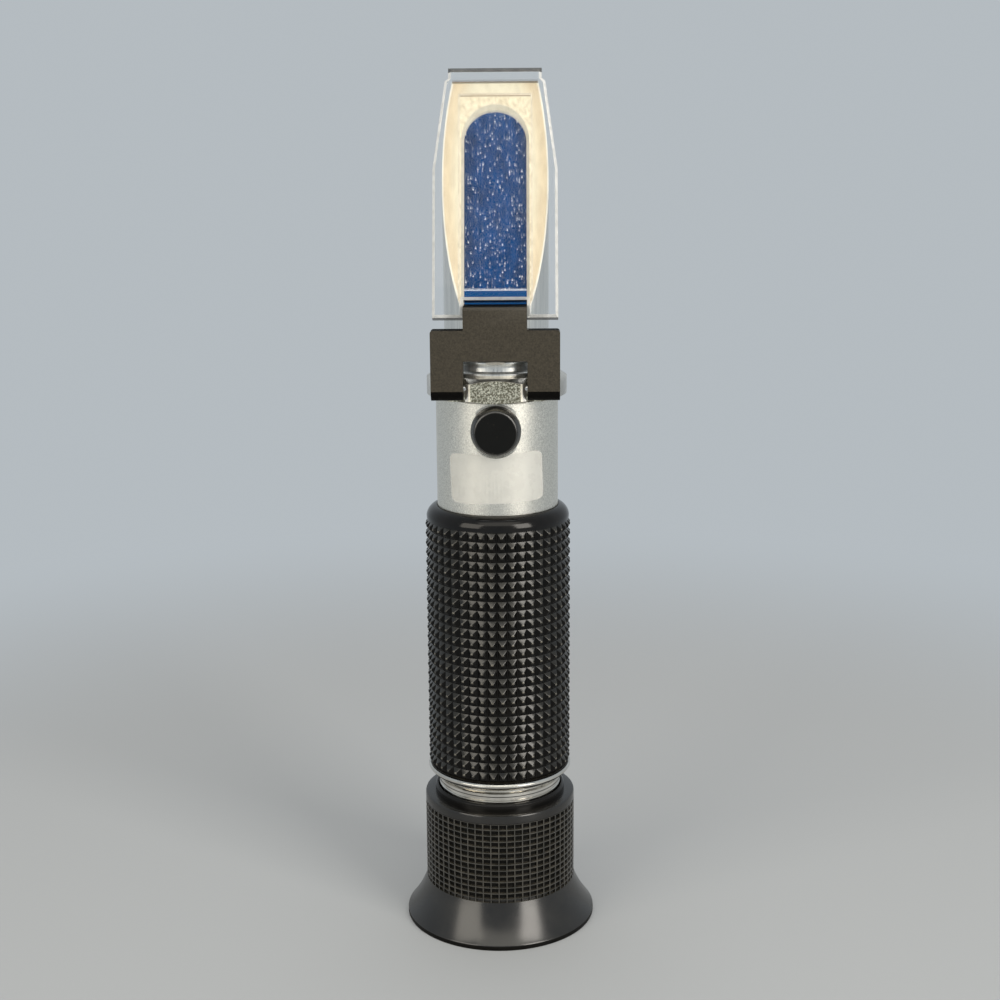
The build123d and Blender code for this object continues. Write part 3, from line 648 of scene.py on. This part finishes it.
def makeGripSleeve():
    look = gripSleeve
    floor = look["tip"] - look["depth"]
    core, foot = floor - 0.04, floor + 0.34
    low, high, top, shoulder = look["low"], look["high"], look["top"], look["shoulder"]
    bend = look["shoulderRound"]
    profile = [(look["bore"], look["foot"]), (foot - 0.14, look["foot"]), (foot, look["foot"] + 0.12)]
    profile += [(foot, low - 0.08), (core, low), (core, high)]
    profile += [(shoulder - 0.22, high + 0.04), (shoulder - 0.06, high + 0.12)]
    profile += arcPoints((shoulder - bend, top - bend), bend, *look["shoulderTurn"], 14)
    profile += [(look["bore"] + 0.18, top), (look["bore"], top - 0.15)]
    piece = newPiece("gripSleeve", turnedMesh("gripSleeve", profile, look["segments"]))
    wrapTiles(piece, ringTile("knurlTile", look["tile"]), look["columns"], look["rows"], floor, low, high,
              look["depth"], "gripBlack")
    softenShading(piece.data, look["sharpAngle"])
    tips, lean = (look["tip"] - look["tipBand"]) * mm, look["litLean"]

    # Painted light: faces of the knurling that face upwards get a lighter finish
    def isLitFace(face):
        return face.normal.z > lean and face.center.z < high * mm

    # Painted highlight: the outermost faces of the knurling tips
    def isTip(face):
        return face.center.xy.length > tips and face.center.z < high * mm and face.normal.z > -lean

    paintFaces(piece, "gripPaintedLight", isLitFace)
    paintFaces(piece, "gripTipHighlight", isTip)
    paintFaces(piece, "gripGloss", lambda face: face.center.z > high * mm)
    settle(piece, "grip_sleeve", "optics_tube")


makeGripSleeve()

# Eyecup: a flared cup under a sleeve with a net of thin raised lines. Lengths are in millimetres;
# lineFoot and lineHead say where a line and its head begin, as shares of its height down from its top.
eyecup = {
    "rim": 18.1, "rimInner": 16.9, "flareMiddle": (15.9, 4.1), "flareTop": 7.75, "sleeve": 14.3, "top": 25.2,
    "bore": 12.4, "throat": 10.4, "throatLow": 7.8, "throatHigh": 8.6, "cupMiddle": (14.2, 4.3),
    "columns": 60, "rows": 13, "netLow": 8.45, "netTop": 23.5, "lineHeight": 0.42,
    "rib": [(-0.5, 1.0), (-0.435, 1.0), (-0.37, 0.1), (0.37, 0.1), (0.435, 1.0), (0.5, 1.0)],
    "tile": [(0.5, 0.5, 1.0, 0.0), (0.435, 0.415, 1.0, 0.0), (0.415, 0.39, 0.85, 0.0), (0.37, 0.335, 0.1, 0.0),
             (0.33, 0.29, 0.0, 0.0)],
    "segments": 180, "sharpAngle": 30, "lineFoot": 0.93, "lineHead": 0.2, "rimFoot": 1.0}


def makeEyecup():
    look = eyecup
    rim, sleeve, bore, top = look["rim"], look["sleeve"], look["bore"], look["top"]
    flareTop, netLow, netTop, line = look["flareTop"], look["netLow"], look["netTop"], look["lineHeight"]
    floor = sleeve - line
    core, throat = floor - 0.02, (look["throat"], look["throatLow"])
    outside = [(look["rimInner"], 0.0), (rim - 0.12, 0.0), (rim - 0.03, 0.03)]
    outside += [(rim, 0.12), (rim, 0.84), (rim - 0.04, 0.95)]
    flare = (Vector((rim - 0.12, 1.04)), Vector(look["flareMiddle"]), Vector((sleeve, flareTop)))
    outside += curveThrough(*flare, 16)
    outside += [(core, flareTop + 0.04), (core, netTop - 0.02), (sleeve - 0.08, netTop), (sleeve, netTop + 0.08)]
    outside += [(sleeve, top - 0.35), (sleeve - 0.1, top - 0.1), (sleeve - 0.35, top)]
    inside = [(bore, top), (bore, look["throatHigh"]), (look["throat"], look["throatHigh"]), throat]
    inside += curveThrough(Vector(throat), Vector(look["cupMiddle"]), Vector((look["rimInner"], 0.0)), 14)[1:-1]
    piece = newPiece("rubberEyecup", turnedMesh("rubberEyecup", outside + inside, look["segments"]))
    ribs = ribTile("ribTile", look["rib"])
    wrapTiles(piece, ribs, look["columns"], 1, floor, flareTop - 0.03, netLow, line, "eyecupRubber")
    net = ringTile("netTile", look["tile"])
    wrapTiles(piece, net, look["columns"], look["rows"], floor, netLow, netTop, line, "eyecupRubber")
    softenShading(piece.data, look["sharpAngle"])
    lineFoot, lineHead = ((sleeve - look[end] * line) * mm for end in ("lineFoot", "lineHead"))

    # How far a face of the sleeve is from the axis; nought for the other faces
    def reach(face):
        onSleeve = flareTop * mm < face.center.z < netTop * mm
        return (face.center.x ** 2 + face.center.y ** 2) ** 0.5 if onSleeve else 0.0

    # Painted highlight: the tops of the net's lines and their upward faces
    def isLine(face):
        return reach(face) > lineHead or (face.normal.z > 0.3 and reach(face) > lineFoot)

    # Painted shade: the cell floors and the rim's upright band get a dark finish
    def isCell(face):
        isRim = abs(face.normal.z) < 0.1 and face.center.z < look["rimFoot"] * mm
        return (bore + 1) * mm < reach(face) <= lineFoot or isRim

    paintFaces(piece, "netLineHighlight", isLine)
    paintFaces(piece, "netCellShade", isCell)
    settle(piece, "rubber_eyecup", "eyepiece")


makeEyecup()

# Pieces that keep their CAD shape, as smooth copies: name, body, record slot, finish, edge rounding
copies = {
    "body_tube": ("bodyTube", "optics_tube", "satin_metal", "blastedMetal", 0.06),
    "hinge_collar": ("hingeCollar", "optics_tube", "plated_metal", "turnedMetal", 0.16),
    "end_ring": ("endRing", "optics_tube", "plated_metal", "platedMetal", 0.06),
    "focus_neck": ("focusNeck", "optics_tube", "plated_metal", "platedMetal", 0.05),
    "prism_housing": ("prismHousing", "optics_tube", "plated_metal", "drawnMetal", 0.0),
    "eyepiece_barrel": ("eyepieceBarrel", "eyepiece", "barrel_black", "barrelBlack", 0.06),
    "hinge_bracket": ("hingeBracket", "daylight_cover", "bracket_plastic", "bracketPlastic", 0.14),
    "calibration_cap": ("calibrationCap", "rubber_cap", "cap_rubber", "capRubber", 0.30),
    "daylight_plate": ("daylightPlate", "daylight_cover", "clear_plastic", "clearPlastic", 0.06),
    "label_film": ("labelFilm", "optics_tube", "label_film", "labelFilm", 0.0),
    "hinge_pin": ("hingePin", "optics_tube", "steel", "steel", 0.08),
    "prism_mask": ("prismMask", "optics_tube", "mask_cream", "maskCream", 0.0),
    "lens_cell": ("lensCell", "lens_carrier", "inner_black", "innerBlack", 0.05),
    "eye_lens": ("eyeLens", "lens_carrier", "lens_glass", "lensGlass", 0.0),
    "field_lens": ("fieldLens", "lens_carrier", "lens_glass", "lensGlass", 0.0),
}
roundPieces = (
    "body_tube", "hinge_collar", "end_ring", "focus_neck", "prism_housing", "eyepiece_barrel", "label_film")
sharpAngles = {"prism_housing": 12, "others": 32}

# The sloping face: its foot in millimetres, and the directions out of it and up it
slopeFoot = Vector((0, -9.5, 111.6))
slopeNormal = Vector((0, -0.9503, 0.3113))
slopeUp = Vector((0, 0.3113, 0.9503))

# Where finishes change, in millimetres: the groove in height and radius, the collar's flat in place
# across and depth, the plate's lip in place up the slope
neckGroove = {"heights": (27.72, 27.88), "radius": 11.3}
collarFlat = {"edge": (4.4, 4.8), "depth": -11.6, "upperDepth": -11.8}
plateLip = (49.3, 50.3)
faceCuts = {
    "daylight_plate": [(slopeUp, slopeFoot.dot(slopeUp) + plateLip[0])],
    "hinge_collar": [((side, 0, 0), collarFlat["edge"][1]) for side in (1, -1)],
    "focus_neck": [((0, 0, 1), height) for height in neckGroove["heights"]],
}


# Painted shade: no groove is cut in the neck; the band between the two heights is painted black for the shade of
# a groove
def isInGroove(face):
    low, high = neckGroove["heights"]
    return low < face.center.z / mm < high and face.center.xy.length > neckGroove["radius"] * mm


# The upright edges of the collar's flat, and its rounded upper edge, which get a painted highlight
def isFlatEdge(face):
    near, far = collarFlat["edge"]
    upright = near < abs(face.center.x) / mm < far and abs(face.normal.z) < 0.3
    upper = face.center.y < collarFlat["upperDepth"] * mm and 0.1 < face.normal.z < 0.8
    return face.center.y < collarFlat["depth"] * mm and (upright or upper)


def isLip(face):
    place = (face.center / mm - slopeFoot).dot(slopeUp)
    return plateLip[0] < place < plateLip[1] and face.normal.dot(slopeNormal) > -0.3


faceFinishes = {
    "focus_neck": {"barrelBlack": isInGroove},
    "calibration_cap": {"capRim": lambda face: 0.3 < abs(face.normal.y) < 0.97},
    "prism_housing": {"lappedMetal": lambda face: face.normal.dot(slopeNormal) > 0.999},
    "hinge_collar": {"flatEdgeHighlight": isFlatEdge, "sparkleMetal": lambda face: face.normal.y < -0.999},
    # Painted shade: the bracket's upward and downward faces
    "hinge_bracket": {"bracketEdgeShade": lambda face: face.normal.z > 0.8 or face.normal.z < -0.2},
    "prism_mask": {"maskEdge": lambda face: abs(face.normal.dot(slopeNormal)) < 0.95},
    # Painted light on the plate: pale edges as highlights, dark ends and a grey lip as shade
    "daylight_plate": {"plasticEdgeHighlight": lambda face: 0.3 < abs(face.normal.dot(slopeNormal)) < 0.96,
                       "plasticEndShade": lambda face: face.normal.dot(slopeUp) < -0.8,
                       "plasticLipShade": isLip},
}

# Bevel round the window: the arch's radius and top up the slope, and how far the bevel reaches
maskBevel = {"arch": 5.56, "archTop": 43.0, "wideSides": 0.5, "wideTop": 1.25, "skin": -0.1, "near": 0.05}


# Leans the wall of the mask's arch outwards, from the mask's outer skin
def bevelMask(piece):
    look = maskBevel
    centre = look["archTop"] - look["arch"]
    for vertex in piece.data.vertices:
        place = vertex.co - slopeFoot * mm
        across, upwards = place.x / mm, max(0.0, place.dot(slopeUp) / mm - centre)
        reach = (across ** 2 + upwards ** 2) ** 0.5
        if place.dot(slopeNormal) / mm > look["skin"] and abs(reach - look["arch"]) < look["near"]:
            wide = look["wideSides"] + (look["wideTop"] - look["wideSides"]) * (upwards / reach) ** 2
            vertex.co += (Vector((across, 0, 0)) + slopeUp * upwards) * (wide / reach) * mm


for node, (name, body, slot, finish, edgeRound) in copies.items():
    piece = mergedCopy(node, name, sharpAngles.get(node, sharpAngles["others"]), edgeRound)
    if node == "prism_mask":
        bevelMask(piece)
    if node in faceCuts:
        cutFaces(piece, faceCuts[node])
    piece.data.materials.clear()
    piece.data.materials.append(finishes[finish])
    settle(piece, node, body)
    if node in roundPieces:
        roundShading(piece)
    for accent, picks in faceFinishes.get(node, {}).items():
        paintFaces(piece, accent, picks)

# The CAD pieces that stay, mostly inside
kept = {
    "prismGlass": ["main_prism"], "sealWhite": ["prism_seal"], "capRubber": ["focus_seal"],
    "steel": ["focus_guide_pin", "bimetal_strip", "strip_screw"],
    "turnedBrass": ["calibration_bush", "calibration_screw"],
    "lensGlass": ["reticle_glass", "objective_lens"],
    "innerBlack": ["light_baffle", "carriage_seat", "reticle_holder", "reticle_retainer", "objective_carriage",
                   "objective_retainer", "lens_retainer", "lens_spacer", "barrel_retainer"],
}
for finish, nodes in kept.items():
    for node in nodes:
        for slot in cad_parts[node].material_slots:
            slot.material = finishes[finish]
print("kept CAD nodes dressed:", sum(len(nodes) for nodes in kept.values()))

# Floor, lamps and camera
studio = {
    "floorColour": (0.44, 0.46, 0.475, 1), "floorRadius": 3.0, "floorSides": 96, "fade": (0.12, 0.32),
    "backColour": (0.46, 0.50, 0.53, 1), "worldLight": 0.30, "worldColour": (0.95, 0.97, 1.0, 1)}


# One for the rays that show the background itself, nought for those that only carry light
def seenRays(tree):
    path = tree.nodes.new("ShaderNodeLightPath")
    total = path.outputs["Is Camera Ray"]
    for name in ("Is Glossy Ray", "Is Transmission Ray"):
        larger = tree.nodes.new("ShaderNodeMath")
        larger.operation = "MAXIMUM"
        tree.links.new(total, larger.inputs[0])
        tree.links.new(path.outputs[name], larger.inputs[1])
        total = larger.outputs[0]
    return total


# The pale floor turns into the background colour with distance
def makeFloor():
    bpy.ops.mesh.primitive_circle_add(
        vertices=studio["floorSides"], radius=studio["floorRadius"], fill_type="NGON", location=(0, 0, 0))
    floor = bpy.context.object
    floor.name = "floor"
    material, shader = newMaterial("floorPaper", {
        "Base Color": studio["floorColour"], "Roughness": 0.6, "Specular IOR Level": 0.3})
    coords = addNode(material, "ShaderNodeTexCoord")
    distance = addNode(material, "ShaderNodeVectorMath", operation="LENGTH")
    join(material, coords.outputs["Object"], distance.inputs[0])
    near, far = studio["fade"]
    fade = addNode(material, "ShaderNodeMapRange", {"From Min": near, "From Max": far},
                   interpolation_type="SMOOTHSTEP")
    join(material, distance.outputs["Value"], fade.inputs["Value"])
    sight = calculated(material, "MULTIPLY", fade.outputs["Result"], seenRays(material.node_tree))
    back = addNode(material, "ShaderNodeEmission", {"Color": studio["backColour"]})
    mix = addNode(material, "ShaderNodeMixShader")
    join(material, sight, mix.inputs["Fac"])
    join(material, shader.outputs["BSDF"], mix.inputs[1])
    join(material, back.outputs["Emission"], mix.inputs[2])
    join(material, mix.outputs["Shader"], material.node_tree.nodes["Material Output"].inputs["Surface"])
    floor.data.materials.append(material)


def makeWorld():
    world = bpy.data.worlds.new("studio")
    bpy.context.scene.world = world
    world.use_nodes = True
    nodes, links = world.node_tree.nodes, world.node_tree.links
    nodes.clear()
    light = nodes.new("ShaderNodeBackground")
    light.inputs["Color"].default_value = studio["worldColour"]
    light.inputs["Strength"].default_value = studio["worldLight"]
    back = nodes.new("ShaderNodeBackground")
    back.inputs["Color"].default_value = studio["backColour"]
    mix = nodes.new("ShaderNodeMixShader")
    links.new(seenRays(world.node_tree), mix.inputs["Fac"])
    links.new(light.outputs[0], mix.inputs[1])
    links.new(back.outputs[0], mix.inputs[2])
    out = nodes.new("ShaderNodeOutputWorld")
    links.new(mix.outputs[0], out.inputs["Surface"])


# Each lamp stands at an angle round the object from its front, and at an angle above the floor, and
# aims at the tube's middle; angles in degrees, the rest in metres and watts
lamps = {
    "leftSoftbox": {"around": -44, "above": 20, "far": 0.80, "size": (0.46, 0.58), "power": 2.65,
                    "colour": (1.0, 0.93, 0.81)},
    "rightSoftbox": {"around": 43, "above": 20, "far": 0.80, "size": (0.34, 0.58), "power": 4.4,
                     "colour": (1.0, 0.95, 0.87)},
    "frontPanel": {"around": 4, "above": 50, "far": 1.00, "size": (1.00, 0.60), "power": 2.5,
                   "colour": (1.0, 0.94, 0.82)},
    "topSoftbox": {"around": 180, "above": 80, "far": 0.95, "size": (0.60, 0.60), "power": 2.6,
                   "colour": (1.0, 0.99, 0.97)},
}
lampTarget = Vector((0, 0, 0.08))


def makeLamps():
    for name, look in lamps.items():
        data = bpy.data.lights.new(name, "AREA")
        data.shape = "RECTANGLE"
        data.size, data.size_y = look["size"]
        data.energy = look["power"]
        data.color = look["colour"]
        lamp = bpy.data.objects.new(name, data)
        bpy.context.scene.collection.objects.link(lamp)
        around, above = radians(look["around"]), radians(look["above"])
        aim = -Vector((sin(around) * cos(above), -cos(around) * cos(above), sin(above)))
        lamp.location = lampTarget - aim * look["far"]
        lamp.rotation_mode = "QUATERNION"
        lamp.rotation_quaternion = aim.to_track_quat("-Z", "Y")


# Lengths in millimetres and angles in degrees
photoCamera = {
    "lens": 57.6, "sensor": 36, "back": 290.7, "up": 146.7, "across": 0.43,
    "pitch": 12.54, "roll": -0.42, "orbit": 1.1, "clipStart": 10}


def makeCamera():
    look = photoCamera
    data = bpy.data.cameras.new("photoCamera")
    data.lens = look["lens"]
    data.sensor_width = look["sensor"]
    data.clip_start = look["clipStart"] * mm
    camera = bpy.data.objects.new("photoCamera", data)
    bpy.context.scene.collection.objects.link(camera)
    orbit = Matrix.Rotation(radians(look["orbit"]), 3, "Z")
    tilt = Matrix.Rotation(radians(90 - look["pitch"]), 3, "X") @ Matrix.Rotation(radians(look["roll"]), 3, "Z")
    camera.location = orbit @ Vector((look["across"], -look["back"], look["up"])) * mm
    camera.rotation_mode = "QUATERNION"
    camera.rotation_quaternion = (orbit @ tilt).to_quaternion()
    bpy.context.scene.camera = camera


makeFloor()
makeWorld()
makeLamps()
makeCamera()
bpy.context.scene.view_settings.view_transform = "Standard"
print("stage, lamps and camera ready")
